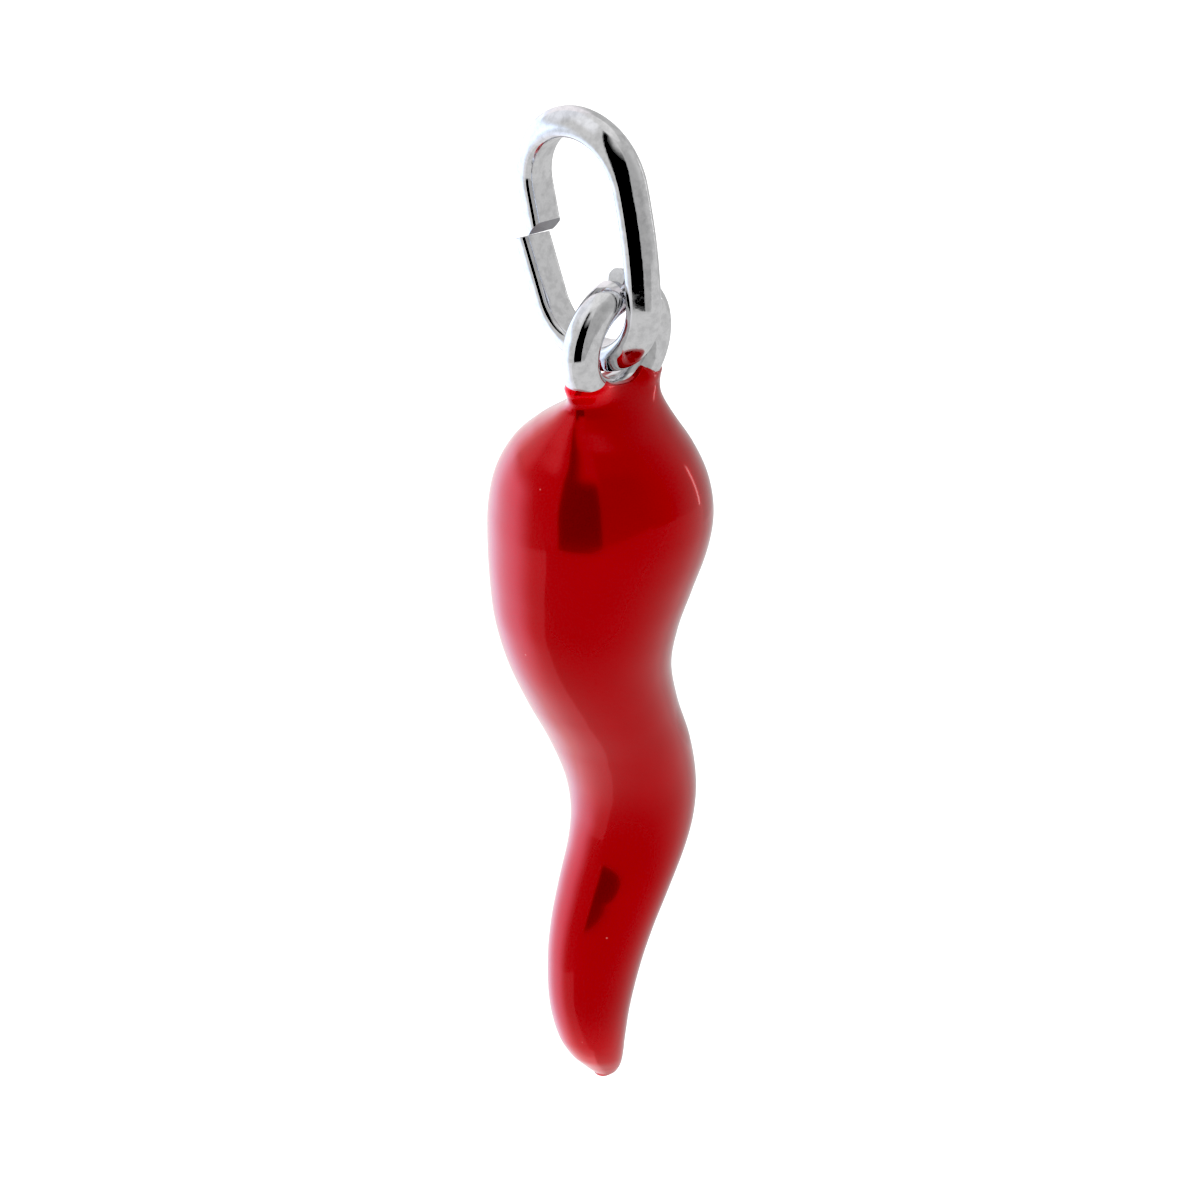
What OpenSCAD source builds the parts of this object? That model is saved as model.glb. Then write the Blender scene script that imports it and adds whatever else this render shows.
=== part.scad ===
// Cornicello horn pendant: an open oval jump ring, a small eye ring and a wavy enamelled horn.
// Millimetres, +Z up. The origin is where a chain bears, inside the top of the jump ring.
// The pendant's front faces -Y: the eye ring is seen as a circle there, the jump ring edge on.

/* [Jump ring] */
// Width of the half-round wire, along the ring's own axis
ring_wire_w = 1.08; // [0.9:0.02:1.3]
// Thickness of the half-round wire, from its flat inner face to its crown
ring_wire_t = 0.76; // [0.64:0.02:0.9]
// Radius of the wire's crown
ring_crown_r = 0.36; // [0.2:0.02:0.42]
// Inner radius of the ring's two round ends
ring_end_r = 1.4; // [1.25:0.05:1.8]
// Distance between the centres of the two round ends
ring_centres = 2.78; // [2.4:0.02:4]
// How far the closed long side bows out past the round ends
ring_bow = 0.07; // [0.03:0.01:0.15]
// Lean of the ring in its own plane, its top to the back
ring_lean = 8.5; // [0:0.5:12]

/* [Jump ring's cut ends] */
// How far the upper arm of the cut side turns inwards
upper_arm_in = 5; // [0:0.5:8]
// How far the lower arm of the cut side turns outwards, past the upper one
lower_arm_out = 13; // [8:0.5:14]
// Height of the upper end's tip above the middle of the ring
upper_end_rise = 0.02; // [-0.2:0.02:0.3]
// Depth of the nipped face on the upper end, through the wire's thickness
nip_depth = 0.38; // [0.2:0.02:0.6]
// Length of the nipped face on the upper end, along the wire
nip_length = 0.32; // [0.1:0.02:0.5]
// Slant of the lower end's face, its outer edge lower
lower_end_slant = 2; // [0:1:15]
// Skew of both cuts across the wire
cut_skew = 6; // [0:1:10]
// Smallest gap between the two ends
end_gap = 0.05; // [0.03:0.01:0.3]

/* [Eye ring] */
// Diameter of the round wire
eye_wire_d = 0.97; // [0.8:0.01:1.1]
// Play of the jump ring's wire, corner to corner, in the bore
eye_play = 0.48; // [0.4:0.02:0.9]
// Where the raised end of the wire starts to leave the ring, from the right side
tail_start = 45; // [36:1:60]
// Where the raised end stops, just past the top
tail_end = 100; // [99:1:108]
// Radius of the raised end's centre line, which opens out from the ring
tail_r = 3.2; // [2.2:0.1:3.6]
// Where the other end of the wire stops, at the top
head_start = 100; // [92:1:101]

/* [Horn] */
// Length of the enamelled horn below its neck
horn_l = 19.7; // [14:0.1:30]
// Greatest diameter of the horn
horn_d = 5.8; // [5:0.1:7]
// Lean of the horn and its eye ring, the tip to the back
horn_lean = 4; // [0:0.5:6]
// Depth of the horn's neck below the eye ring's centre
neck_drop = 1.3; // [1.2:0.05:1.5]
// Height of the enamel's edge, as a depth below the eye ring's centre
edge_drop = 0.82; // [0.7:0.02:1.1]
// Tilt of the enamel's edge, the right side lower
edge_tilt = 4; // [0:1:10]
// Thickness of the enamel over the eye ring's wire
film = 0.05; // [0.04:0.01:0.12]
// Width of the bare rim between the bore and the enamel
bare_rim = 0.08; // [0.04:0.01:0.2]

/* [Fits] */
// Gap between the eye ring and the enamel round it
fit_gap = 0.02; // [0.01:0.01:0.03]
// Gap between the eye ring and the side of the jump ring that it leans on
seat_gap = 0.07; // [0.05:0.01:0.15]

/* [Hidden] */
$fn = 96;
steel = [0.80, 0.81, 0.83];
red = [0.66, 0.00, 0.02];

// Long side's half length and half width, inside
half_l = ring_centres / 2;
half_w = ring_end_r + ring_bow;
// Radius of the bowed side, tangent to both round ends, and the angle at which they join
bow_r = (pow(half_l, 2) + pow(half_w, 2) - pow(ring_end_r, 2)) / (2 * ring_bow);
join_a = asin(half_l / (bow_r - ring_end_r));
// Centre of the wire's two flank arcs, off the middle, and their radius
flank_off = (pow(ring_wire_t - ring_crown_r, 2) - pow(ring_wire_w / 2 - ring_crown_r, 2))
    / (2 * (ring_wire_w / 2 - ring_crown_r));
flank_r = ring_wire_w / 2 + flank_off;
// Height on the wire at which flank and crown meet
shoulder = flank_r * (ring_wire_t - ring_crown_r) / (flank_r - ring_crown_r);
// Lengths of the two arms of the cut side, and what the skew of the cuts needs beyond them
upper_arm = (half_l - upper_end_rise) / cos(upper_arm_in) - ring_end_r * tan(upper_arm_in);
lower_tip = upper_end_rise - nip_depth * sin(upper_arm_in) - end_gap;
lower_arm = (half_l + lower_tip) / cos(lower_arm_out) + ring_end_r * tan(lower_arm_out);
arm_spare = ring_wire_w * tan(cut_skew);

// Eye ring: bore, and radius of the wire's centre line
eye_bore_d = sqrt(pow(ring_wire_w, 2) + pow(ring_wire_t, 2)) + eye_play;
eye_r = eye_bore_d / 2 + eye_wire_d / 2;
// Its top leans on the near side of the jump ring, level with the centre of the lower round end
seat_x = ring_end_r - eye_wire_d / 2 - seat_gap;
eye_y = -(ring_centres * sin(ring_lean) + seat_x * cos(ring_lean) - eye_r * sin(horn_lean));
eye_z = -ring_end_r - ring_centres * cos(ring_lean) + seat_x * sin(ring_lean) - eye_r * cos(horn_lean);

// Sections of the horn from its neck down, all as shares:
// depth of horn_l, sideways shift of horn_d, width of horn_d, thickness of horn_d
SHARE = 0;
SHIFT = 1;
WIDTH = 2;
THICK = 3;
rows = [
    [-0.015, 0.000, 0.520, 0.200],
    [0.000, 0.000, 0.530, 0.340],
    [0.010, 0.000, 0.530, 0.360],
    [0.024, -0.015, 0.570, 0.440],
    [0.036, -0.030, 0.635, 0.550],
    [0.050, -0.050, 0.715, 0.680],
    [0.080, -0.065, 0.850, 0.850],
    [0.120, -0.060, 0.960, 0.960],
    [0.165, -0.060, 1.000, 1.000],
    [0.210, -0.070, 0.975, 0.975],
    [0.265, -0.100, 0.895, 0.895],
    [0.320, -0.115, 0.810, 0.810],
    [0.380, -0.085, 0.730, 0.730],
    [0.445, 0.015, 0.675, 0.675],
    [0.515, 0.155, 0.635, 0.635],
    [0.580, 0.250, 0.585, 0.585],
    [0.630, 0.275, 0.550, 0.550],
    [0.675, 0.250, 0.520, 0.520],
    [0.730, 0.175, 0.490, 0.490],
    [0.780, 0.110, 0.455, 0.455],
    [0.830, 0.070, 0.415, 0.415],
    [0.890, 0.055, 0.360, 0.360],
    [0.940, 0.080, 0.300, 0.300],
    [0.970, 0.120, 0.240, 0.240],
    [0.988, 0.155, 0.175, 0.175],
    [1.000, 0.185, 0.090, 0.090]
];
last = len(rows) - 1;
// Sides of each section and steps down the horn
horn_sides = 40;
horn_steps = 62;

// Slope of a column at a row, from its neighbours
function slope(i, col) = let (a = max(i - 1, 0), b = min(i + 1, last))
    (rows[b][col] - rows[a][col]) / (rows[b][SHARE] - rows[a][SHARE]);
// Row under a share of the depth
function row_at(share, i = 0) = i >= last - 1 || rows[i + 1][SHARE] > share ? i : row_at(share, i + 1);
// Smooth value of a column at a share of the depth
function smooth(share, col) = let (
    i = row_at(share),
    h = rows[i + 1][SHARE] - rows[i][SHARE],
    q = (share - rows[i][SHARE]) / h
)
    (2 * pow(q, 3) - 3 * pow(q, 2) + 1) * rows[i][col]
    + (pow(q, 3) - 2 * pow(q, 2) + q) * h * slope(i, col)
    + (3 * pow(q, 2) - 2 * pow(q, 3)) * rows[i + 1][col]
    + (pow(q, 3) - pow(q, 2)) * h * slope(i + 1, col);
// Steps are finer at the neck and at the tip
function step_share(k) = let (t = k / horn_steps, first = rows[0][SHARE])
    first + (1 - first) * (t - 0.1 * sin(360 * t));
// Half-round wire section: x outwards from the flat inner face, y along the ring's axis
module ring_wire() {
    intersection() {
        translate([0, -ring_wire_w / 2]) square([ring_wire_t, ring_wire_w]);
        translate([0, flank_off]) circle(flank_r);
        translate([0, -flank_off]) circle(flank_r);
        union() {
            translate([0, -ring_wire_w / 2]) square([shoulder, ring_wire_w]);
            translate([ring_wire_t - ring_crown_r, 0]) circle(ring_crown_r);
        }
    }
}

// Curved stretch of the ring with inner radius r, between two angles about its own centre
module ring_arc(r, from, to) {
    rotate([0, 0, from])
        rotate_extrude(angle = to - from)
            translate([r, 0])
                ring_wire();
}

// Frame of an arm of the cut side: x outwards from its flat face, y down it from the round end
module at_arm(turn) {
    rotate([0, 0, 180 + turn])
        translate([ring_end_r, 0, 0])
            children();
}

// Straight wire along y, between two places
module straight_wire(from, to) {
    translate([0, to, 0])
        rotate([90, 0, 0])
            linear_extrude(to - from)
                ring_wire();
}

// Upper arm, nipped off from its flat face and then broken square
module upper_arm_wire() {
    at_arm(upper_arm_in)
        difference() {
            straight_wire(0, upper_arm + arm_spare);
            translate([0, upper_arm, 0])
                rotate([cut_skew, 0, 0])
                    linear_extrude(2 * ring_wire_w, center = true)
                        polygon([
                            [-nip_depth, -2 * nip_length],
                            [nip_depth, 0],
                            [2 * ring_wire_t, 0],
                            [2 * ring_wire_t, ring_wire_w],
                            [-nip_depth, ring_wire_w]
                        ]);
        }
}

// Lower arm, with its slanted end face
module lower_arm_wire() {
    at_arm(lower_arm_out)
        difference() {
            straight_wire(-lower_arm - arm_spare, 0);
            translate([0, -lower_arm, 0])
                rotate([cut_skew, 0, lower_end_slant])
                    translate([-ring_wire_t, -ring_wire_w, -ring_wire_w])
                        cube([3 * ring_wire_t, ring_wire_w, 2 * ring_wire_w]);
        }
}

// Oval ring in its own plane: x across with the closed side at +x, y up, its axis along z
module ring_flat() {
    ring_arc(ring_end_r, join_a, 180 + upper_arm_in);
    upper_arm_wire();
    translate([half_w - bow_r, -half_l, 0])
        ring_arc(bow_r, -join_a, join_a);
    translate([0, -ring_centres, 0]) {
        ring_arc(ring_end_r, 180 + lower_arm_out, 360 - join_a);
        lower_arm_wire();
    }
}

module jump_ring() {
    color(steel)
        translate([0, 0, -ring_end_r])
            rotate([90, 0, -90])
                rotate([0, 0, ring_lean])
                    ring_flat();
}

// Places what hangs with the eye ring: its centre at the eye, leaning with the horn
module at_eye() {
    translate([0, eye_y, eye_z])
        rotate([horn_lean, 0, 0])
            children();
}

// Whole ring of round wire about the Y axis
module round_ring(wire_r) {
    rotate([90, 0, 0])
        rotate_extrude()
            translate([eye_r, 0])
                circle(wire_r);
}

// Ring of round wire about the Y axis with its ends meeting unevenly at the top
module bent_ring() {
    rotate([90, 0, 0]) {
        rotate([0, 0, head_start])
            rotate_extrude(angle = 360 + tail_start - head_start)
                translate([eye_r, 0])
                    circle(eye_wire_d / 2);
        rotate([0, 0, tail_start])
            translate([eye_r - tail_r, 0, 0])
                rotate_extrude(angle = (tail_end - tail_start) * eye_r / tail_r)
                    translate([tail_r, 0])
                        circle(eye_wire_d / 2);
    }
}

// Round hole along Y through the eye ring's centre
module eye_hole(d, length) {
    rotate([90, 0, 0])
        cylinder(h = length, d = d, center = true);
}

module eye_ring() {
    color(steel)
        at_eye()
            bent_ring();
}

// Body of the horn, from inside the eye ring's wire down to the blunt tip
module horn_body() {
    points = [for (k = [0 : horn_steps]) let (
            s = step_share(k),
            a = smooth(s, WIDTH) * horn_d / 2,
            b = smooth(s, THICK) * horn_d / 2
        )
        for (j = [0 : horn_sides - 1]) let (angle = 360 * j / horn_sides)
        [smooth(s, SHIFT) * horn_d + a * cos(angle), b * sin(angle), -neck_drop - s * horn_l]];
    walls = [for (k = [0 : horn_steps - 1], j = [0 : horn_sides - 1])
        let (a = k * horn_sides + j, b = k * horn_sides + (j + 1) % horn_sides)
        [a, b, b + horn_sides, a + horn_sides]];
    top = [for (j = [horn_sides - 1 : -1 : 0]) j];
    tip = [for (j = [0 : horn_sides - 1]) horn_steps * horn_sides + j];
    polyhedron(points = points, faces = concat(walls, [top, tip]));
}

module horn() {
    color(red)
        at_eye()
            difference() {
                union() {
                    horn_body();
                    round_ring(eye_wire_d / 2 + film, $fn = 72);
                }
                round_ring(eye_wire_d / 2 + fit_gap, $fn = 72);
                eye_hole(eye_bore_d + 2 * bare_rim, horn_d);
                // Tilted edge of the enamel
                rotate([0, edge_tilt, 0])
                    translate([-horn_d, -horn_d, -edge_drop])
                        cube(2 * horn_d);
            }
}

jump_ring();
eye_ring();
horn();
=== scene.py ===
"""Cornicello horn pendant: a wavy horn in red enamel, an eye ring set in its neck, and an open jump ring.

Shapes are worked out in millimetres, in each piece's own frame, and end up in metres where the CAD nodes
are. Most sizes are those that the part's source names. The horn's sections, the upper edge of its enamel
and the nipped end of the eye ring's wire are this file's own, where the source is a little plainer.
"""

import math

import bmesh
import bpy
import numpy as np
from mathutils import Matrix, Vector


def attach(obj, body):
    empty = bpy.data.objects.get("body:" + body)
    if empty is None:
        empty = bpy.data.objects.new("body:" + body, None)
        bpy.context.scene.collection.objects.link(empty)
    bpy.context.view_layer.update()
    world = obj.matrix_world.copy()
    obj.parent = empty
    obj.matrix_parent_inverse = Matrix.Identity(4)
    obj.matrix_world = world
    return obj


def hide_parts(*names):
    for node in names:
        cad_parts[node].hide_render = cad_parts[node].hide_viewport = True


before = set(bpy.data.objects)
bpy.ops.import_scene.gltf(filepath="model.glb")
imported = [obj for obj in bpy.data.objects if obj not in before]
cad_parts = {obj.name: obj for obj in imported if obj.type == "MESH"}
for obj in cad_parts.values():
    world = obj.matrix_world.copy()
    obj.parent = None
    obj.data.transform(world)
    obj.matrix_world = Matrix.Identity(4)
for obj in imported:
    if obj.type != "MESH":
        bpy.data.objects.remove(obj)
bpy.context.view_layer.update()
# A millimetre in metres
MM = 0.001

# Jump ring: half-round wire bent to an oval, open on its far side. Its wire, its round ends, the bow of
# its long sides, and how far its foot swings to the front
RING_WIRE_W = 1.08
RING_WIRE_T = 0.76
RING_CROWN_R = 0.36
RING_END_R = 1.4
RING_CENTRES = 2.78
RING_BOW = 0.07
RING_LEAN = math.radians(8.5)
# Its two cut ends: the bend of each arm, then the upper end's height and nipped corner, the lower end's
# slant, the skew of both cuts and the gap between them
UPPER_ARM_IN = math.radians(5)
LOWER_ARM_OUT = math.radians(13)
UPPER_END_RISE = 0.02
NIP_DEPTH = 0.38
NIP_LENGTH = 0.32
LOWER_END_SLANT = math.radians(2)
CUT_SKEW = math.radians(6)
END_GAP = 0.05
# Eye ring: round wire with its two ends meeting unevenly at the top. Its head is cut square, and its
# tail leaves the ring on a wider bend
EYE_WIRE_D = 0.97
EYE_PLAY = 0.48
TAIL_START = math.radians(45)
TAIL_END = math.radians(100)
TAIL_R = 3.2
HEAD_START = math.radians(100)
# The tail's nipped end: its length, how much thinner it ends, as a share, and how far it is drawn outwards
TAIL_TAPER = 0.9
TAIL_THIN = 0.45
TAIL_DRAWN = 0.4
# Left between the eye ring and the jump ring that it leans on
SEAT_GAP = 0.07
# Horn: its length, greatest diameter and lean, and how far below the eye ring's centre its sections start
HORN_L = 19.7
HORN_D = 5.8
HORN_LEAN = math.radians(4)
NECK_DROP = 1.3
# Enamel: the film on the eye ring's wire, and the bare metal left round the bore
FILM = 0.05
BARE_RIM = 0.08
# Upper edge of the enamel on the eye ring, at places across it: level on the left limb, a peak beside
# the bore, and lower on the right limb
EDGE_ACROSS = (-1.9, -1.42, -0.95, -0.4, 0.4, 0.66, 0.80, 1.04, 1.32, 1.9)
EDGE_HEIGHT = (-0.76, -0.80, -0.71, -0.66, -0.64, -0.64, -0.82, -1.02, -1.10, -1.12)
# Sections of the horn from its neck down: share of the length, then shift, width and thickness as
# shares of its greatest diameter. The neck is thinner from front to back than the source's
HORN_ROWS = [
    (-0.015, 0.000, 0.500, 0.125),
    (0.000, -0.002, 0.522, 0.210),
    (0.010, -0.012, 0.545, 0.290),
    (0.024, -0.028, 0.600, 0.388),
    (0.036, -0.038, 0.650, 0.490),
    (0.050, -0.045, 0.710, 0.610),
    (0.080, -0.050, 0.840, 0.805),
    (0.120, -0.046, 0.953, 0.945),
    (0.165, -0.042, 1.000, 1.000),
    (0.210, -0.052, 0.980, 0.980),
    (0.265, -0.080, 0.905, 0.905),
    (0.320, -0.097, 0.820, 0.820),
    (0.380, -0.066, 0.735, 0.735),
    (0.445, 0.034, 0.680, 0.680),
    (0.515, 0.172, 0.635, 0.635),
    (0.580, 0.266, 0.585, 0.585),
    (0.630, 0.292, 0.550, 0.550),
    (0.675, 0.268, 0.522, 0.522),
    (0.730, 0.196, 0.492, 0.492),
    (0.780, 0.132, 0.457, 0.457),
    (0.830, 0.092, 0.417, 0.417),
    (0.890, 0.078, 0.362, 0.362),
    (0.940, 0.103, 0.300, 0.300),
    (0.970, 0.143, 0.238, 0.238),
    (0.988, 0.180, 0.174, 0.174),
    (1.003, 0.207, 0.100, 0.100),
]

# Worked out from the sizes above
EYE_BORE_R = (math.hypot(RING_WIRE_W, RING_WIRE_T) + EYE_PLAY) / 2
EYE_R = EYE_BORE_R + EYE_WIRE_D / 2
SEAT_X = RING_END_R - EYE_WIRE_D / 2 - SEAT_GAP
EYE_CENTRE = Vector((
    0,
    -(RING_CENTRES * math.sin(RING_LEAN) + SEAT_X * math.cos(RING_LEAN) - EYE_R * math.sin(HORN_LEAN)),
    -RING_END_R - RING_CENTRES * math.cos(RING_LEAN) + SEAT_X * math.sin(RING_LEAN)
    - EYE_R * math.cos(HORN_LEAN),
))
AT_EYE = Matrix.Translation(EYE_CENTRE) @ Matrix.Rotation(HORN_LEAN, 4, "X")
# The oval's own plane: x across, y up, its axis along z
AT_RING = (
    Matrix.Translation((0, 0, -RING_END_R)) @ Matrix.Rotation(math.radians(-90), 4, "Z")
    @ Matrix.Rotation(math.radians(90), 4, "X") @ Matrix.Rotation(RING_LEAN, 4, "Z")
)


def linear(code):
    """Opaque colour for a shader from an sRGB hex value."""
    parts = [int(code[i:i + 2], 16) / 255 for i in (1, 3, 5)]
    return tuple(c / 12.92 if c <= 0.04045 else ((c + 0.055) / 1.055) ** 2.4 for c in parts) + (1.0,)


def add(tree, kind, inputs=None, **settings):
    """One node in a tree, with its settings, and with its inputs set or linked."""
    node = tree.nodes.new(kind)
    for name, value in settings.items():
        setattr(node, name, value)
    for name, value in (inputs or {}).items():
        socket = node.inputs[name]
        if isinstance(value, bpy.types.NodeSocket):
            tree.links.new(value, socket)
        else:
            socket.default_value = value
    return node


def blank_material(name):
    """A new material, with an empty node tree."""
    material = bpy.data.materials.new(name)
    material.use_nodes = True
    material.node_tree.nodes.clear()
    return material, material.node_tree


def put_in_scene(name, data):
    """A new object in the scene's own collection."""
    made = bpy.data.objects.new(name, data)
    bpy.context.scene.collection.objects.link(made)
    return made


def stand_facing(thing, turn, rise, away, middle):
    """Stands a camera or a lamp facing a middle point, turned from the front towards -X, and raised."""
    back = Vector((-math.sin(turn) * math.cos(rise), -math.cos(turn) * math.cos(rise), math.sin(rise)))
    thing.location = middle + back * away
    thing.rotation_euler = back.to_track_quat("Z", "Y").to_euler()


# ---------------------------------------------------------------- camera

CAMERA_TURN = math.radians(48.5)
CAMERA_RISE = math.radians(22.4)
# Far enough for a nearly parallel view, and near enough that views from other sides stay in its range
CAMERA_REACH = 1.25
# Side and middle of the photograph's frame at the pendant, in metres
FRAME_SIDE = 0.03072
FRAME_MIDDLE = Vector((-0.002185, -0.002517, -0.011478))


def place_camera():
    """The photograph's view: from the front left and above, down a long lens."""
    camera = put_in_scene("camera", bpy.data.cameras.new("camera"))
    camera.data.sensor_fit = "HORIZONTAL"
    camera.data.lens = camera.data.sensor_width * CAMERA_REACH / FRAME_SIDE
    stand_facing(camera, CAMERA_TURN, CAMERA_RISE, CAMERA_REACH, FRAME_MIDDLE)
    bpy.context.scene.camera = camera


# ---------------------------------------------------------------- materials

def rhodium(name, waviness):
    """Rhodium-plated silver, polished with a cloth wheel: a pale, almost white mirror with a faint haze.

    The wheel leaves low waves in it, which make the edges of dark reflections wander a little, and
    handling leaves hairline scratches that break up the brightest ones.
    """
    material, tree = blank_material(name)
    place = add(tree, "ShaderNodeTexCoord").outputs["Object"]
    # Waves about 0.9 mm long, a few micrometres high
    waves = add(tree, "ShaderNodeTexNoise", {
        "Vector": place, "Scale": 1100.0, "Detail": 1.0, "Roughness": 0.4,
    })
    # Hairlines 0.03 mm apart, drawn out upwards, along the long sides of the rings
    stretch = add(tree, "ShaderNodeMapping", {"Vector": place, "Scale": (1.0, 1.0, 0.12)})
    hairs = add(tree, "ShaderNodeTexNoise", {"Vector": stretch.outputs[0], "Scale": 30000.0, "Detail": 3.0})
    # Marks of the forming pliers, in patches about 0.25 mm across, left where the wheel did not reach
    dents = add(tree, "ShaderNodeTexNoise", {
        "Vector": place, "Scale": 4000.0, "Detail": 3.0, "Roughness": 0.65,
    })
    low = add(tree, "ShaderNodeBump", {
        "Height": waves.outputs["Fac"], "Strength": 1.0, "Distance": waviness * MM,
    })
    marks = add(tree, "ShaderNodeBump", {
        "Height": dents.outputs["Fac"], "Normal": low.outputs[0], "Strength": 0.6, "Distance": 0.003 * MM,
    })
    fine = add(tree, "ShaderNodeBump", {
        "Height": hairs.outputs["Fac"], "Normal": marks.outputs[0], "Strength": 0.25, "Distance": 0.0015 * MM,
    })
    # Their higher spots are hazier and paler, and the hollows between them clearer and greyer
    haze = add(tree, "ShaderNodeMapRange", {
        "Value": dents.outputs["Fac"], "From Min": 0.35, "From Max": 0.7, "To Min": 0.06, "To Max": 0.13,
    })
    tone = add(tree, "ShaderNodeValToRGB", {"Fac": dents.outputs["Fac"]})
    tone.color_ramp.elements[0].position = 0.36
    tone.color_ramp.elements[0].color = linear("#D2D2D3")
    tone.color_ramp.elements[1].position = 0.58
    tone.color_ramp.elements[1].color = linear("#E4E4E5")
    skin = add(tree, "ShaderNodeBsdfPrincipled", {
        "Base Color": tone.outputs[0], "Metallic": 1.0, "Roughness": haze.outputs[0],
        "Normal": fine.outputs[0],
    })
    add(tree, "ShaderNodeOutputMaterial", {"Surface": skin.outputs[0]})
    return material


def cut_silver():
    """Wire end left by the cutter before plating: duller and a little darker, drawn into fine ridges."""
    material, tree = blank_material("rhodium_plate_cut_end")
    place = add(tree, "ShaderNodeTexCoord").outputs["Object"]
    # Ridges 0.06 mm apart, along the cutter's way
    ridges = add(tree, "ShaderNodeTexWave", {
        "Vector": place, "Scale": 5000.0, "Distortion": 3.0, "Detail": 2.0,
    })
    rough = add(tree, "ShaderNodeBump", {
        "Height": ridges.outputs["Fac"], "Strength": 0.5, "Distance": 0.006 * MM,
    })
    skin = add(tree, "ShaderNodeBsdfPrincipled", {
        "Base Color": linear("#A2A2A6"), "Metallic": 1.0, "Roughness": 0.36, "Normal": rough.outputs[0],
    })
    add(tree, "ShaderNodeOutputMaterial", {"Surface": skin.outputs[0]})
    return material


def red_enamel():
    """Red enamel, poured in one coat over a bright metal casting and cured glossy.

    Light goes through the deep red glaze, meets the metal and comes back red, so it shows the room
    darkly in red under the sharper white gloss of its surface. Dust and tiny bubbles make pale specks.
    """
    material, tree = blank_material("red_enamel_poured")
    place = add(tree, "ShaderNodeTexCoord").outputs["Object"]
    # The coat is uneven over about 2 mm: it runs a little deeper in some places than in others
    depth = add(tree, "ShaderNodeTexNoise", {"Vector": place, "Scale": 500.0, "Detail": 2.0})
    glaze = add(tree, "ShaderNodeValToRGB", {"Fac": depth.outputs["Fac"]})
    glaze.color_ramp.elements[0].position = 0.3
    glaze.color_ramp.elements[0].color = linear("#AE0006")
    glaze.color_ramp.elements[1].position = 0.7
    glaze.color_ramp.elements[1].color = linear("#B40008")
    # On the ring's left limb and at the tip it thins to a film, which lets more light back out
    film = add(tree, "ShaderNodeAttribute", attribute_name="thin_glaze")
    body = add(tree, "ShaderNodeMix", {
        "Factor": film.outputs["Fac"], 6: glaze.outputs[0], 7: linear("#E00010"),
    }, data_type="RGBA")
    # Specks 0.03 to 0.06 mm across in about one cell of 0.9 mm in four
    cells = add(tree, "ShaderNodeTexVoronoi", {"Vector": place, "Scale": 1100.0})
    near = add(tree, "ShaderNodeMapRange", {
        "Value": cells.outputs["Distance"], "From Min": 0.016, "From Max": 0.034,
        "To Min": 1.0, "To Max": 0.0,
    })
    pick = add(tree, "ShaderNodeSeparateColor", {"Color": cells.outputs["Color"]})
    some = add(tree, "ShaderNodeMath", {0: pick.outputs[0], 1: 0.74}, operation="GREATER_THAN")
    speck = add(tree, "ShaderNodeMath", {0: near.outputs[0], 1: some.outputs[0]}, operation="MULTIPLY")
    colour = add(tree, "ShaderNodeMix", {
        "Factor": speck.outputs[0], 6: body.outputs[2], 7: linear("#F08A80"),
    }, data_type="RGBA")
    # The cured surface swells a few micrometres over about 1.5 mm, and each speck stands up a little
    swell = add(tree, "ShaderNodeTexNoise", {"Vector": place, "Scale": 650.0, "Detail": 1.0})
    skin_bump = add(tree, "ShaderNodeBump", {
        "Height": swell.outputs["Fac"], "Strength": 1.0, "Distance": 0.010 * MM,
    })
    speck_bump = add(tree, "ShaderNodeBump", {
        "Height": speck.outputs[0], "Normal": skin_bump.outputs[0], "Strength": 0.6, "Distance": 0.01 * MM,
    })
    # The metal under the glaze gives the deep red reflection, and the coat the sharp white one over it
    skin = add(tree, "ShaderNodeBsdfPrincipled", {
        "Base Color": colour.outputs[2], "Metallic": 0.67, "Roughness": 0.15,
        "IOR": 1.5, "Specular IOR Level": 0.0, "Normal": skin_bump.outputs[0],
        "Coat Weight": 1.0, "Coat Roughness": 0.025, "Coat IOR": 1.5, "Coat Normal": speck_bump.outputs[0],
    })
    add(tree, "ShaderNodeOutputMaterial", {"Surface": skin.outputs[0]})
    return material


# ---------------------------------------------------------------- wire rings

# Longest step along a wire's path, in millimetres
PATH_STEP = 0.03
# Half-round section: the radius of its softened corner, and steps round the corner, round the flank and
# again round the crown, and across the flat face
CORNER_R = 0.2
CORNER_STEPS = 6
FLANK_STEPS = 14
FLAT_STEPS = 8
# Steps round the round section
ROUND_STEPS = 72
# Hand drawing and polishing leave the wires out of true by up to half of this, in millimetres, with a
# fixed seed each
JUMP_UNEVENNESS = 0.012
JUMP_SEED = 3.0
EYE_UNEVENNESS = 0.010
EYE_SEED = 8.0
# Depth of the bump that makes the wheel's waves in each, in millimetres
JUMP_WAVINESS = 0.012
EYE_WAVINESS = 0.010
# Softening of the cut edges, in millimetres
JUMP_SOFTENING = 0.014
EYE_SOFTENING = 0.02 * (EYE_WIRE_D / 2)
# Sharper edges than the first are softened, and those still sharper than the second are shaded as edges
SOFTENED_EDGE = math.radians(30)
SHARP_EDGE = math.radians(32)
# Marks for the jump ring's two arms, and the steps of its path past each arm that its cuts may reach
LOWER_ARM, UPPER_ARM = 1, 2
PAST_ARM = 6


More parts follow.
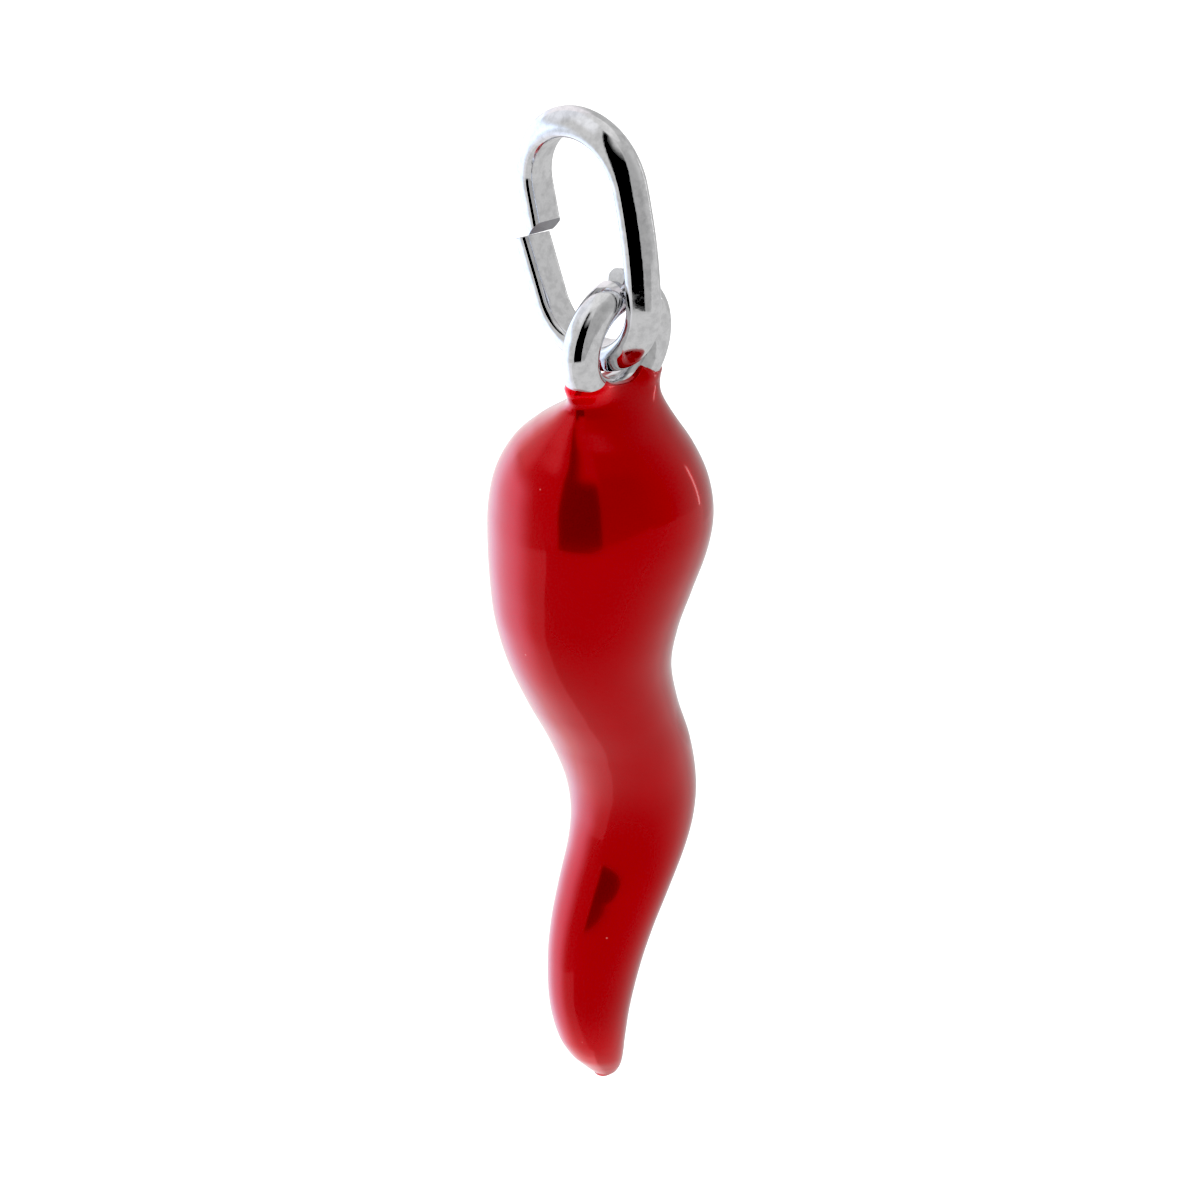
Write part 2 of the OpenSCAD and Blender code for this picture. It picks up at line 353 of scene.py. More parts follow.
def wire_along_path():
    """Geometry nodes: draws a section along a path, scaled to the wire's thickness and width."""
    tree = bpy.data.node_groups.new("wire_along_path", "GeometryNodeTree")
    for name, kind in (("Path", "Geometry"), ("Section", "Object"), ("Thickness", "Float"),
                       ("Width", "Float"), ("Unevenness", "Float"), ("Seed", "Float"),
                       ("Finish", "Material")):
        tree.interface.new_socket(name, in_out="INPUT", socket_type="NodeSocket" + kind)
    tree.interface.new_socket("Wire", in_out="OUTPUT", socket_type="NodeSocketGeometry")
    given = add(tree, "NodeGroupInput").outputs
    section = add(tree, "GeometryNodeObjectInfo", {"Object": given["Section"]})
    sizes = add(tree, "ShaderNodeCombineXYZ", {"X": given["Thickness"], "Y": given["Width"], "Z": 1.0})
    scaled = add(tree, "GeometryNodeTransform", {
        "Geometry": section.outputs["Geometry"], "Scale": sizes.outputs[0],
    })
    drawn = add(tree, "GeometryNodeCurveToMesh", {
        "Curve": given["Path"], "Profile Curve": scaled.outputs[0], "Fill Caps": True,
    })
    # Low unevenness about 1.4 mm long, the same each run for the same seed
    place = add(tree, "GeometryNodeInputPosition")
    bumps = add(tree, "ShaderNodeTexNoise", {
        "Vector": place.outputs[0], "W": given["Seed"], "Scale": 0.7, "Detail": 1.0,
    }, noise_dimensions="4D")
    centred = add(tree, "ShaderNodeMath", {0: bumps.outputs["Fac"], 1: 0.5}, operation="SUBTRACT")
    amount = add(tree, "ShaderNodeMath", {
        0: centred.outputs[0], 1: given["Unevenness"],
    }, operation="MULTIPLY")
    normal = add(tree, "GeometryNodeInputNormal")
    push = add(tree, "ShaderNodeVectorMath", {
        0: normal.outputs[0], "Scale": amount.outputs[0],
    }, operation="SCALE")
    uneven = add(tree, "GeometryNodeSetPosition", {"Geometry": drawn.outputs[0], "Offset": push.outputs[0]})
    solid = add(tree, "GeometryNodeRealizeInstances", {"Geometry": uneven.outputs[0]})
    finished = add(tree, "GeometryNodeSetMaterial", {
        "Geometry": solid.outputs[0], "Material": given["Finish"],
    })
    add(tree, "NodeGroupOutput", {"Wire": finished.outputs[0]})
    return tree


def curve_object(name, points, closed):
    """A plain curve through points, in millimetres."""
    data = bpy.data.curves.new(name, "CURVE")
    data.dimensions = "3D"
    data.twist_mode = "Z_UP"
    spline = data.splines.new("POLY")
    spline.points.add(len(points) - 1)
    for point, (x, y) in zip(spline.points, points):
        point.co = (x, y, 0, 1)
    spline.use_cyclic_u = closed
    return put_in_scene(name, data)


def half_round_section():
    """Half-round wire with softened corners, one unit thick and one wide: x outwards, y along the axis."""
    half = RING_WIRE_W / 2
    rise = RING_WIRE_T - RING_CROWN_R
    off = (rise ** 2 - (half - RING_CROWN_R) ** 2) / (2 * (half - RING_CROWN_R))
    flank = half + off
    turn = math.atan2(rise, off)
    # The soft corner is an arc tangent to the flat face and to the flank
    corner_y = math.sqrt((flank - CORNER_R) ** 2 - CORNER_R ** 2) - off
    lift = math.asin(CORNER_R / (flank - CORNER_R))
    outline = []
    for i in range(CORNER_STEPS + 1):
        a = math.radians(180) - (math.radians(90) - lift) * i / CORNER_STEPS
        outline.append((CORNER_R + CORNER_R * math.cos(a), corner_y + CORNER_R * math.sin(a)))
    for i in range(1, FLANK_STEPS + 1):
        a = lift + (turn - lift) * i / FLANK_STEPS
        outline.append((flank * math.sin(a), flank * math.cos(a) - off))
    for i in range(1, FLANK_STEPS + 1):
        a = turn + (math.pi / 2 - turn) * i / FLANK_STEPS
        outline.append((rise + RING_CROWN_R * math.sin(a), RING_CROWN_R * math.cos(a)))
    outline += [(x, -y) for x, y in reversed(outline[:-1])]
    flat = [(0, -corner_y + 2 * corner_y * i / FLAT_STEPS) for i in range(1, FLAT_STEPS)]
    return [(x / RING_WIRE_T, y / RING_WIRE_W) for x, y in outline + flat]


def round_section():
    """Round wire, one unit across."""
    turns = [math.tau * i / ROUND_STEPS for i in range(ROUND_STEPS)]
    return [(math.cos(a) / 2, math.sin(a) / 2) for a in turns]


def polar(angle, radius):
    """The point at an angle round the origin."""
    return radius * math.cos(angle), radius * math.sin(angle)


def arc(centre, radius, start, end):
    """Points round an arc, both ends included."""
    count = max(2, math.ceil(abs(end - start) * radius / PATH_STEP))
    return [(centre[0] + radius * math.cos(start + (end - start) * i / count),
             centre[1] + radius * math.sin(start + (end - start) * i / count)) for i in range(count + 1)]


def line(start, heading, length):
    """Points along a straight line, without its start."""
    count = max(1, math.ceil(length / PATH_STEP))
    return [(start[0] + math.cos(heading) * length * i / count,
             start[1] + math.sin(heading) * length * i / count) for i in range(1, count + 1)]


def wire_mesh(name, path, section, thickness, width, unevenness, seed, finish):
    """Runs the geometry nodes on a path and returns the plain mesh, in millimetres."""
    holder = curve_object(name + "_path", path, False)
    profile = curve_object(name + "_section", section, True)
    tree = bpy.data.node_groups.get("wire_along_path") or wire_along_path()
    modifier = holder.modifiers.new("wire", "NODES")
    modifier.node_group = tree
    values = {
        "Section": profile, "Thickness": thickness, "Width": width, "Unevenness": unevenness, "Seed": seed,
        "Finish": finish,
    }
    for item in tree.interface.items_tree:
        if item.name in values:
            modifier[item.identifier] = values[item.name]
    depsgraph = bpy.context.evaluated_depsgraph_get()
    mesh = bpy.data.meshes.new_from_object(holder.evaluated_get(depsgraph))
    holder.modifiers.remove(modifier)
    bpy.data.objects.remove(holder)
    bpy.data.objects.remove(profile)
    return mesh


def cut_arm(shape, arm, which, at_cut, normal):
    """Cuts one arm of the ring with a plane, takes away what lies past it and closes the end.

    The closed end gets the second finish, which is the cut metal.
    """
    point = at_cut @ Vector((0, 0, 0))
    way = (at_cut.to_3x3() @ Vector(normal)).normalized()
    own = [f for f in shape.faces if all(v[arm] == which for v in f.verts)]
    edges = {e for f in own for e in f.edges}
    verts = {v for f in own for v in f.verts}
    parts = bmesh.ops.bisect_plane(
        shape, geom=list(verts) + list(edges) + own, plane_co=point, plane_no=way, dist=1e-6,
    )
    past = [v for v in shape.verts if v[arm] == which and (v.co - point).dot(way) > 1e-5]
    bmesh.ops.delete(shape, geom=past, context="VERTS")
    rim = [p for p in parts["geom_cut"] if isinstance(p, bmesh.types.BMEdge) and p.is_valid]
    for face in bmesh.ops.holes_fill(shape, edges=rim, sides=0)["faces"]:
        face.material_index = 1


def finish_wire(name, shape, finishes, matrix, body, node, soften):
    """Softens the cut edges, puts the wire in the part's frame and lets it stand for its CAD node."""
    mesh = bpy.data.meshes.new(name)
    for finish in finishes:
        mesh.materials.append(finish)
    bmesh.ops.remove_doubles(shape, verts=shape.verts, dist=1e-5)
    bmesh.ops.recalc_face_normals(shape, faces=shape.faces)
    sharp = [e for e in shape.edges if len(e.link_faces) == 2 and e.calc_face_angle(0) > SOFTENED_EDGE]
    bmesh.ops.bevel(
        shape, geom=sharp, offset=soften, segments=2, profile=0.5, affect="EDGES", clamp_overlap=True,
    )
    for face in shape.faces:
        face.smooth = True
    for edge in shape.edges:
        if len(edge.link_faces) == 2 and edge.calc_face_angle(0) > SHARP_EDGE:
            edge.smooth = False
    shape.to_mesh(mesh)
    shape.free()
    mesh.transform(Matrix.Scale(MM, 4) @ matrix)
    piece = put_in_scene(name, mesh)
    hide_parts(node)
    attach(piece, body)


def make_jump_ring(finish, cut_finish):
    """Draws the whole oval with both arms too long, then cuts the upper end twice and the lower one once."""
    half_l = RING_CENTRES / 2
    half_w = RING_END_R + RING_BOW
    bow_r = (half_l ** 2 + half_w ** 2 - RING_END_R ** 2) / (2 * RING_BOW)
    join = math.asin(half_l / (bow_r - RING_END_R))
    upper_arm = (half_l - UPPER_END_RISE) / math.cos(UPPER_ARM_IN) - RING_END_R * math.tan(UPPER_ARM_IN)
    lower_tip = UPPER_END_RISE - NIP_DEPTH * math.sin(UPPER_ARM_IN) - END_GAP
    lower_arm = (half_l + lower_tip) / math.cos(LOWER_ARM_OUT) + RING_END_R * math.tan(LOWER_ARM_OUT)
    spare = RING_WIRE_W
    # The path follows the flat face the way round that turns the crown outwards: from the lower cut
    # end round the bottom, up the near side, over the top and down to the upper one
    up_turn = math.pi + UPPER_ARM_IN
    low_turn = math.pi + LOWER_ARM_OUT
    low_x, low_y = polar(low_turn, RING_END_R)
    lower = line((low_x, low_y - RING_CENTRES), low_turn - math.pi / 2, lower_arm + spare)[::-1]
    upper = line(polar(up_turn, RING_END_R), up_turn + math.pi / 2, upper_arm + spare)
    path = lower + arc((0, -RING_CENTRES), RING_END_R, low_turn, math.tau - join)
    path += arc((half_w - bow_r, -half_l), bow_r, -join, join)[1:-1]
    path += arc((0, 0), RING_END_R, join, up_turn) + upper
    section = half_round_section()
    mesh = wire_mesh("jump_ring_wire", path, section, RING_WIRE_T, RING_WIRE_W, JUMP_UNEVENNESS, JUMP_SEED,
                     finish)
    shape = bmesh.new()
    shape.from_mesh(mesh)
    shape.verts.ensure_lookup_table()
    arm = shape.verts.layers.int.new("arm")
    sides = len(section)
    for vert in shape.verts[:(len(lower) + PAST_ARM) * sides]:
        vert[arm] = LOWER_ARM
    for vert in shape.verts[(len(path) - len(upper) - PAST_ARM) * sides:len(path) * sides]:
        vert[arm] = UPPER_ARM

    # Each arm's frame: x outwards from its flat face, y down it from the round end
    at_upper = Matrix.Rotation(up_turn, 4, "Z") @ Matrix.Translation((RING_END_R, upper_arm, 0))
    at_lower = (Matrix.Translation((0, -RING_CENTRES, 0)) @ Matrix.Rotation(low_turn, 4, "Z")
                @ Matrix.Translation((RING_END_R, -lower_arm, 0)))
    skew = Matrix.Rotation(CUT_SKEW, 4, "X")
    at_nip = at_upper @ skew @ Matrix.Translation((NIP_DEPTH, 0, 0))
    cut_arm(shape, arm, UPPER_ARM, at_upper @ skew, (0, 1, 0))
    cut_arm(shape, arm, UPPER_ARM, at_nip, (-NIP_LENGTH, NIP_DEPTH, 0))
    cut_arm(shape, arm, LOWER_ARM, at_lower @ Matrix.Rotation(LOWER_END_SLANT, 4, "Z") @ skew, (0, -1, 0))
    finish_wire("jump_ring_wire", shape, [finish, cut_finish], AT_RING, "ring", "jump_ring",
                JUMP_SOFTENING)


def make_eye_ring(finish):
    """Draws the round wire from its head round to its tail, which ends over the head, and nips the tail."""
    # From the square end at the top left, round the bottom, to where the wire leaves the ring
    path = arc((0, 0), EYE_R, HEAD_START, math.tau + TAIL_START)
    bend = polar(TAIL_START, EYE_R - TAIL_R)
    path += arc(bend, TAIL_R, TAIL_START, TAIL_START + (TAIL_END - TAIL_START) * EYE_R / TAIL_R)[1:]
    section = round_section()
    mesh = wire_mesh("eye_ring_wire", path, section, EYE_WIRE_D, EYE_WIRE_D, EYE_UNEVENNESS, EYE_SEED,
                     finish)
    shape = bmesh.new()
    shape.from_mesh(mesh)
    shape.verts.ensure_lookup_table()
    # The wire that leaves the ring was nipped off, which drew its end thinner and outwards
    outwards = Vector((*polar(TAIL_END, 1.0), 0)) * TAIL_DRAWN
    sides = len(section)
    for i, (x, y) in enumerate(path):
        left = sum(math.dist(path[k], path[k + 1]) for k in range(i, len(path) - 1))
        if left < TAIL_TAPER:
            thin = 1 - TAIL_THIN * ease(0, 1, 1 - left / TAIL_TAPER)
            for vert in shape.verts[i * sides:(i + 1) * sides]:
                vert.co = (Vector((x, y, 0)) + outwards).lerp(vert.co, float(thin))
    finish_wire("eye_ring_wire", shape, [finish], AT_EYE @ Matrix.Rotation(math.radians(90), 4, "X"),
                "drop", "eye_ring", EYE_SOFTENING)


# ---------------------------------------------------------------- horn

# Steps of depth at which the sections are worked out
COLUMN_STEPS = 4001
# The small face at the tip: which way it looks, down and across, and how far it stands below the last
# section; and the round where the tip and the top of the neck are cut off. In millimetres, as the next
TIP_SLANT = (0.97, 0.24)
TIP_SET_BACK = 0.02
CUT_ROUND = 0.1
# The glaze between wire and horn: how far under the wire's surface it ends, and its fillet
HOLLOW_SINK = 0.06
HOLLOW_FILLET = 0.5
# The film: how far under the wire's surface it ends, over which depths below its edge, and its fillet
FILM_SINK = 0.09
FILM_FADE = (-0.05, 0.16)
FILM_FILLET = 0.08
# The rim round the bore: its share of the edge's raggedness, and its round
RIM_RAGGED = 0.8
RIM_ROUND = 0.06
# Where all enamel ends above its upper edge, and the round there
EDGE_STANDS = 0.05
EDGE_ROUND = 0.03
# Where the glaze is thin, in millimetres: below its upper edge, off the wire, left of the bore's middle,
# and above the tip, where it is less thin
THIN_BELOW_EDGE = (0.15, 0.75)
THIN_OFF_WIRE = (0.06, 0.2)
THIN_TO_LEFT = (0.2, 0.9)
THIN_ABOVE_TIP = (2.4, 0.3)
THIN_AT_TIP = 0.5
# The rays that find the enamel's surface: how many round each ring, rings from just below the neck to
# near the tip, steps of the fans over the neck and under the tip, and the ends of the line they start on
SIDES = 208
RINGS = 330
NECK_FAN = 90
TIP_FAN = 26
AXIS_BELOW_NECK = 0.6
AXIS_ABOVE_TIP = 0.32
# How far a ray looks, in how many steps, and how often the step that leaves the enamel is halved
RAY_REACH = 3.4
RAY_STEPS = 50
RAY_HALVINGS = 22


def horn_columns():
    """Shift, half width and half thickness of the horn at fine steps of depth, in millimetres."""
    rows = np.array(HORN_ROWS)
    share, columns = rows[:, 0], rows[:, 1:]
    before = np.maximum(np.arange(len(rows)) - 1, 0)
    after = np.minimum(np.arange(len(rows)) + 1, len(rows) - 1)
    slope = (columns[after] - columns[before]) / (share[after] - share[before])[:, None]
    at = np.linspace(share[0], share[-1], COLUMN_STEPS)
    i = np.clip(np.searchsorted(share, at, side="right") - 1, 0, len(rows) - 2)
    h = (share[i + 1] - share[i])[:, None]
    q = ((at - share[i])[:, None]) / h
    value = ((2 * q ** 3 - 3 * q ** 2 + 1) * columns[i] + (q ** 3 - 2 * q ** 2 + q) * h * slope[i]
             + (3 * q ** 2 - 2 * q ** 3) * columns[i + 1] + (q ** 3 - q ** 2) * h * slope[i + 1])
    return at, value[:, 0] * HORN_D, value[:, 1] * HORN_D / 2, value[:, 2] * HORN_D / 2


def ease(low, high, x):
    """From 0 below low to 1 above high, with no kink at either."""
    t = np.clip((x - low) / (high - low), 0, 1)
    return t * t * (3 - 2 * t)


def blend_in(a, b, k):
    """Joins two solids with a fillet about k wide."""
    h = np.clip(0.5 + 0.5 * (b - a) / k, 0, 1)
    return b + (a - b) * h - k * h * (1 - h)


def blend_out(a, b, k):
    """Keeps what two solids share, with a round of about k."""
    return -blend_in(-a, -b, k)


COLUMNS = horn_columns()


def enamel(points):
    """Below 0 inside the enamel. Points are in millimetres from the eye ring's centre, +z up."""
    x, y, z = points[..., 0], points[..., 1], points[..., 2]
    share = np.clip((-z - NECK_DROP) / HORN_L, COLUMNS[0][0], COLUMNS[0][-1])
    shift, wide, thick = (np.interp(share, COLUMNS[0], column) for column in COLUMNS[1:])
    body = (np.hypot((x - shift) / wide, y / thick) - 1) * np.minimum(wide, thick)
    # The blunt tip is a small slanted face
    above_tip = z + NECK_DROP + HORN_ROWS[-1][0] * HORN_L
    tip = -above_tip * TIP_SLANT[0] + (x - HORN_ROWS[-1][1] * HORN_D) * TIP_SLANT[1]
    body = blend_out(body, tip - TIP_SET_BACK, CUT_ROUND)
    body = blend_out(body, z + NECK_DROP + HORN_ROWS[0][0] * HORN_L, CUT_ROUND)
    # The glaze fills the hollow between the ring's wire and the horn
    rho = np.hypot(x, z)
    wire = np.hypot(rho - EYE_R, y) - EYE_WIRE_D / 2
    solid = blend_in(body, wire + HOLLOW_SINK, HOLLOW_FILLET)
    # Film over the wire, which thins out to nothing along an edge ragged by 0.01 mm over 0.4 to 0.8 mm
    ragged = 0.012 * np.sin(7.1 * x + 2.3 * y + 0.7) + 0.009 * np.sin(13.7 * y - 5.3 * x + 2.1)
    below = np.interp(x, EDGE_ACROSS, EDGE_HEIGHT) - z + ragged
    film = wire - (FILM + FILM_SINK) * ease(*FILM_FADE, below) + FILM_SINK
    solid = blend_in(solid, film, FILM_FILLET)
    # The bore stays clear, with a bare rim of metal round it
    rim = EYE_BORE_R + BARE_RIM + RIM_RAGGED * ragged
    solid = blend_out(solid, rim - rho, RIM_ROUND)
    return blend_out(solid, -below - EDGE_STANDS, EDGE_ROUND)


def thin_glaze(points):
    """How thin the glaze is, from 0 to 1: a film on the ring's left limb, and thinner at the tip's end."""
    x, y, z = points[:, 0], points[:, 1], points[:, 2]
    wire = np.hypot(np.hypot(x, z) - EYE_R, y) - EYE_WIRE_D / 2
    below = np.interp(x, EDGE_ACROSS, EDGE_HEIGHT) - z
    edge = (1 - ease(*THIN_BELOW_EDGE, below)) * (1 - ease(*THIN_OFF_WIRE, wire)) * ease(*THIN_TO_LEFT, -x)
    end = -NECK_DROP - HORN_L
    tip = THIN_AT_TIP * ease(end + THIN_ABOVE_TIP[0], end + THIN_ABOVE_TIP[1], z)
    return np.maximum(edge, tip).astype(np.float32)


def enamel_surface(start, way):
    """First place along each ray where it leaves the enamel."""
    near = np.zeros(len(start))
    far = np.full(len(start), RAY_REACH)
    found = np.zeros(len(start), bool)
    for i in range(1, RAY_STEPS + 1):
        t = RAY_REACH * i / RAY_STEPS
        outside = enamel(start + way * t) > 0
        first = outside & ~found
        far[first] = t
        near[first] = t - RAY_REACH / RAY_STEPS
        found |= first
    for _ in range(RAY_HALVINGS):
        middle = (near + far) / 2
        outside = enamel(start + way * middle[:, None]) > 0
        far = np.where(outside, middle, far)
        near = np.where(outside, near, middle)
    return start + way * ((near + far) / 2)[:, None]


def make_horn(finish):
    """Casts rays from the horn's axis to its enamel: a fan at the neck, rings down it, a fan at the tip."""
    axis_top = -(NECK_DROP + AXIS_BELOW_NECK)
    axis_end = -(NECK_DROP + HORN_L - AXIS_ABOVE_TIP)
    # Height of each ring's start on the axis, and how far its rays are lifted
    rays = [(axis_top, math.pi / 2 * (1 - k / NECK_FAN)) for k in range(1, NECK_FAN)]
    rays += [(axis_top + (axis_end - axis_top) * k / RINGS, 0.0) for k in range(RINGS + 1)]
    rays += [(axis_end, -math.pi / 2 * k / TIP_FAN) for k in range(1, TIP_FAN)]
    z, lifts = np.array(rays).T
    around = np.linspace(0, math.tau, SIDES, endpoint=False)
    share = np.clip((-z - NECK_DROP) / HORN_L, COLUMNS[0][0], COLUMNS[0][-1])
    shift = np.interp(share, COLUMNS[0], COLUMNS[1])
    start = np.stack([np.repeat(shift, SIDES), np.zeros(len(z) * SIDES), np.repeat(z, SIDES)], -1)
    lift = np.repeat(lifts, SIDES)
    turn = np.tile(around, len(z))
    way = np.stack([np.cos(lift) * np.cos(turn), np.cos(lift) * np.sin(turn), np.sin(lift)], -1)
    points = enamel_surface(start, way)
    poles = enamel_surface(np.array([start[0], start[-1]]), np.array([[0, 0, 1.0], [0, 0, -1.0]]))
    verts = np.vstack([points, poles])
    top, tip = len(points), len(points) + 1
    faces = []
    for k in range(len(z) - 1):
        a = k * SIDES
        for j in range(SIDES):
            n = (j + 1) % SIDES
            faces.append((a + j, a + SIDES + j, a + SIDES + n, a + n))
    last = (len(z) - 1) * SIDES
    for j in range(SIDES):
        n = (j + 1) % SIDES
        faces.append((top, j, n))
        faces.append((tip, last + n, last + j))
    mesh = bpy.data.meshes.new("horn_enamel")
    mesh.from_pydata([tuple(v) for v in verts], [], faces)
    thin = mesh.attributes.new("thin_glaze", "FLOAT", "POINT")
    thin.data.foreach_set("value", thin_glaze(verts))
    mesh.transform(Matrix.Scale(MM, 4) @ AT_EYE)
    mesh.polygons.foreach_set("use_smooth", [True] * len(mesh.polygons))
    mesh.materials.append(finish)
    mesh.update()
    piece = put_in_scene("horn_enamel", mesh)
    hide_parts("horn")
    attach(piece, "drop")


# ---------------------------------------------------------------- studio

# The floor's height and half its side, in metres
FLOOR_HEIGHT = -0.06
FLOOR_HALF = 2.0


def make_floor():
    """White paper below the pendant: matt, so it spreads the light evenly."""
    material, tree = blank_material("white_paper")
    skin = add(tree, "ShaderNodeBsdfPrincipled", {"Base Color": linear("#FAFAFA"), "Roughness": 0.9})
    add(tree, "ShaderNodeOutputMaterial", {"Surface": skin.outputs[0]})
    corners = [(x * FLOOR_HALF, y * FLOOR_HALF, 0) for x, y in ((-1, -1), (1, -1), (1, 1), (-1, 1))]
    mesh = bpy.data.meshes.new("floor")
    mesh.from_pydata(corners, [], [(0, 1, 2, 3)])
    mesh.transform(Matrix.Translation((0, 0, FLOOR_HEIGHT)))
    mesh.materials.append(material)
    floor = put_in_scene("floor", mesh)
    # Reflections show the tent's table and its near part instead
    floor.visible_glossy = False


# The light tent, with left and right as they are seen from the front: left is -X. Each cloth or opening:
# from and to, in degrees round from the front towards the left, and the softness of each end; then from
# and to, in degrees up, and their softness; then its light, in red, green and blue. Later ones hang over
# earlier ones. Degrees round run from -180 to 180 and meet at the back, where the left window goes on in
# its second row
TENT = [
    ("table on the right", -181, 30, 1, 20, -91, -20.5, 1, 1.2, (0.66, 0.66, 0.66)),
    ("walls", -181, 181, 1, 1, -20.5, 62, 1.2, 6, (0.60, 0.60, 0.60)),
    ("ceiling", -181, 181, 1, 1, 62, 91, 6, 1, (0.90, 0.90, 0.90)),
    ("right side", -80, 46, 6, 6, -20.5, 62, 1.2, 8, (0.66, 0.66, 0.66)),
    ("shade beside the camera", -20, 46, 26, 2, -20.5, 52, 1.2, 10, (0.50, 0.50, 0.50)),
    ("left side", 92, 142, 1, 10, -20.5, 62, 1.2, 6, (0.74, 0.74, 0.74)),
    ("left skylight", 106, 150, 8, 10, 34, 66, 8, 6, (1.02, 1.03, 1.06)),
    ("opening for the camera", 47, 92, 1, 1, -20.2, 57, 0.6, 2, (0.01, 0.01, 0.01)),
    ("cloth across the opening", 42, 74, 1, 12, 38, 62, 12, 6, (0.74, 0.74, 0.74)),
    ("seam on the right", -74, -71.5, 0.4, 0.4, -26, 12, 2, 4, (2.4, 2.4, 2.4)),
    ("window's light on the table", 138, 181, 28, 1, -60, -26, 16, 12, (1.25, 1.22, 1.35)),
    ("left window", 135, 181, 15, 1, -44, 10, 14, 8, (1.38, 1.60, 2.00)),
    ("left window's upper part", 146, 181, 12, 1, 12, 60, 6, 8, (0.96, 0.98, 1.04)),
    ("paper round the back", -181, -134, 1, 12, -91, 60, 1, 12, (1.10, 1.06, 1.10)),
    ("left window round the back", -181, -160, 1, 18, -44, 10, 14, 8, (1.38, 1.60, 2.00)),
]
# The table: its light in front of a line across it and behind that line, where the line runs, and how
# soft it is
TABLE_FRONT = (0.72, 0.72, 0.72, 1)
TABLE_BEHIND = (0.90, 0.90, 0.93, 1)
TABLE_LINE = (-0.25, -1.0, 0.15)
TABLE_LINE_SOFT = 0.04
# The even white light that the camera and matt surfaces see inside the tent
TENT_WHITE = 1.15
# The table runs close under the tip: its near part, in millimetres to the left and to the front, with
# a low lip along its left edge; how far it lies below the origin, the lip's height, and its light
TABLE_NEAR = [(-100, 25), (-100, 130), (-10.5, 130), (32.4, 11.8), (40, -9), (0, 1)]
TABLE_NEAR_DOWN = 27.4
TABLE_LIP = 5.9
TABLE_NEAR_LIGHT = 0.72
# Daylight from the window: degrees round towards the left and up, side and distance in metres, watts
WINDOW_TURN = math.radians(172)
WINDOW_RISE = math.radians(28)
WINDOW_SIDE = 0.3
WINDOW_AWAY = 0.35
WINDOW_POWER = 1.2
PENDANT_MIDDLE = Vector((0, 0, -0.012))


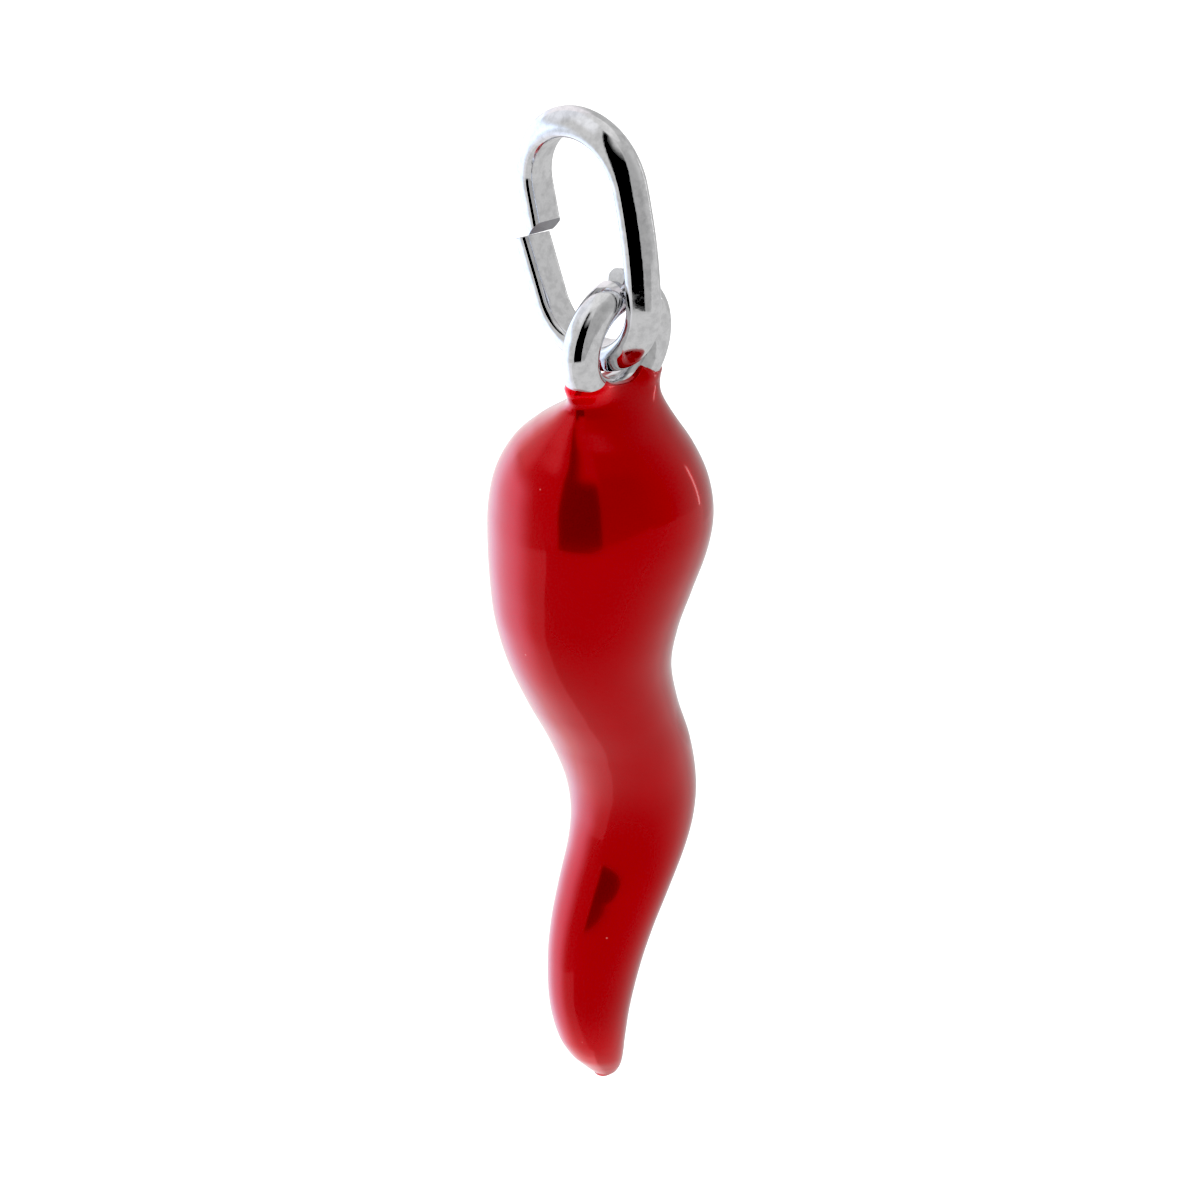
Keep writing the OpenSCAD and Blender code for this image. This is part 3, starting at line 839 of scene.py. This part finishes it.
def make_lights():
    """The light tent, worked out from the direction of each ray alone, and the window's daylight."""
    world = bpy.data.worlds.new("light_tent")
    bpy.context.scene.world = world
    world.use_nodes = True
    tree = world.node_tree
    tree.nodes.clear()
    sight = add(tree, "ShaderNodeTexCoord").outputs["Generated"]
    way = add(tree, "ShaderNodeSeparateXYZ", {"Vector": sight})
    left = add(tree, "ShaderNodeMath", {0: way.outputs["X"], 1: -1.0}, operation="MULTIPLY")
    front = add(tree, "ShaderNodeMath", {0: way.outputs["Y"], 1: -1.0}, operation="MULTIPLY")
    turn = add(tree, "ShaderNodeMath", {0: left.outputs[0], 1: front.outputs[0]}, operation="ARCTAN2")
    rise = add(tree, "ShaderNodeMath", {0: way.outputs["Z"]}, operation="ARCSINE")
    ahead = add(tree, "ShaderNodeVectorMath", {0: sight, 1: TABLE_LINE}, operation="DOT_PRODUCT")
    behind = add(tree, "ShaderNodeMapRange", {
        "Value": ahead.outputs["Value"], "From Min": TABLE_LINE_SOFT, "From Max": -TABLE_LINE_SOFT,
    }, interpolation_type="SMOOTHSTEP")
    table = add(tree, "ShaderNodeMix", {
        "Factor": behind.outputs[0], 6: TABLE_FRONT, 7: TABLE_BEHIND,
    }, data_type="RGBA")
    seen = table.outputs[2]
    for name, start, end, start_soft, end_soft, low, high, low_soft, high_soft, light in TENT:
        share = 1.0
        for angle, edge, soft in ((turn, start, start_soft), (turn, end, -end_soft),
                                  (rise, low, low_soft), (rise, high, -high_soft)):
            past = add(tree, "ShaderNodeMapRange", {
                "Value": angle.outputs[0],
                "From Min": math.radians(edge - soft), "From Max": math.radians(edge + soft),
            }, interpolation_type="SMOOTHSTEP")
            within = add(tree, "ShaderNodeMath", {0: past.outputs[0], 1: share}, operation="MULTIPLY")
            share = within.outputs[0]
        cloth = add(tree, "ShaderNodeMix", {
            "Factor": share, 6: seen, 7: light + (1,),
        }, data_type="RGBA", label=name)
        seen = cloth.outputs[2]
    glow = add(tree, "ShaderNodeBackground", {"Color": seen, "Strength": 1.0})
    paper = add(tree, "ShaderNodeBackground", {"Color": linear("#FFFFFF"), "Strength": TENT_WHITE})
    # The tent is what shines back from metal and enamel; all else gets the even white light inside it
    path = add(tree, "ShaderNodeLightPath")
    even = add(tree, "ShaderNodeMath", {
        0: path.outputs["Is Camera Ray"], 1: path.outputs["Is Diffuse Ray"],
    }, operation="MAXIMUM")
    shown = add(tree, "ShaderNodeMixShader", {0: even.outputs[0], 1: glow.outputs[0], 2: paper.outputs[0]})
    add(tree, "ShaderNodeOutputWorld", {"Surface": shown.outputs[0]})

    # Daylight that goes into the glaze on the left. Reflections show the tent's own window instead
    light = bpy.data.lights.new("window_daylight", "AREA")
    light.shape = "SQUARE"
    light.size = WINDOW_SIDE
    light.energy = WINDOW_POWER
    window = put_in_scene("window_daylight", light)
    stand_facing(window, WINDOW_TURN, WINDOW_RISE, WINDOW_AWAY, PENDANT_MIDDLE)
    window.visible_glossy = False


def make_near_table():
    """The near part of the table, which only reflections show."""
    material, tree = blank_material("table_cloth_lit")
    cloth = add(tree, "ShaderNodeEmission", {"Color": linear("#FFFFFF"), "Strength": TABLE_NEAR_LIGHT})
    add(tree, "ShaderNodeOutputMaterial", {"Surface": cloth.outputs[0]})
    mesh = bpy.data.meshes.new("near_table")
    corners = [(-left, -ahead, -TABLE_NEAR_DOWN) for left, ahead in TABLE_NEAR]
    lip = [(x, y, z + TABLE_LIP) for x, y, z in corners[2:5]]
    mesh.from_pydata(corners + lip, [], [tuple(range(len(corners))), (2, 3, 7, 6), (3, 4, 8, 7)])
    mesh.transform(Matrix.Scale(MM, 4))
    mesh.materials.append(material)
    table = put_in_scene("near_table", mesh)
    table.visible_camera = False
    table.visible_diffuse = False
    table.visible_transmission = False
    table.visible_shadow = False


def set_photograph_look():
    """Plain display colours with the blacks pulled down a little, as the photograph's are."""
    look = bpy.context.scene.view_settings
    look.view_transform = "Standard"
    look.use_curve_mapping = True
    look.curve_mapping.black_level = (0.03, 0.03, 0.03)
    look.curve_mapping.update()


place_camera()
make_floor()
make_lights()
make_near_table()
set_photograph_look()
make_jump_ring(rhodium("rhodium_plate_jump_ring", JUMP_WAVINESS), cut_silver())
make_eye_ring(rhodium("rhodium_plate_eye_ring", EYE_WAVINESS))
make_horn(red_enamel())
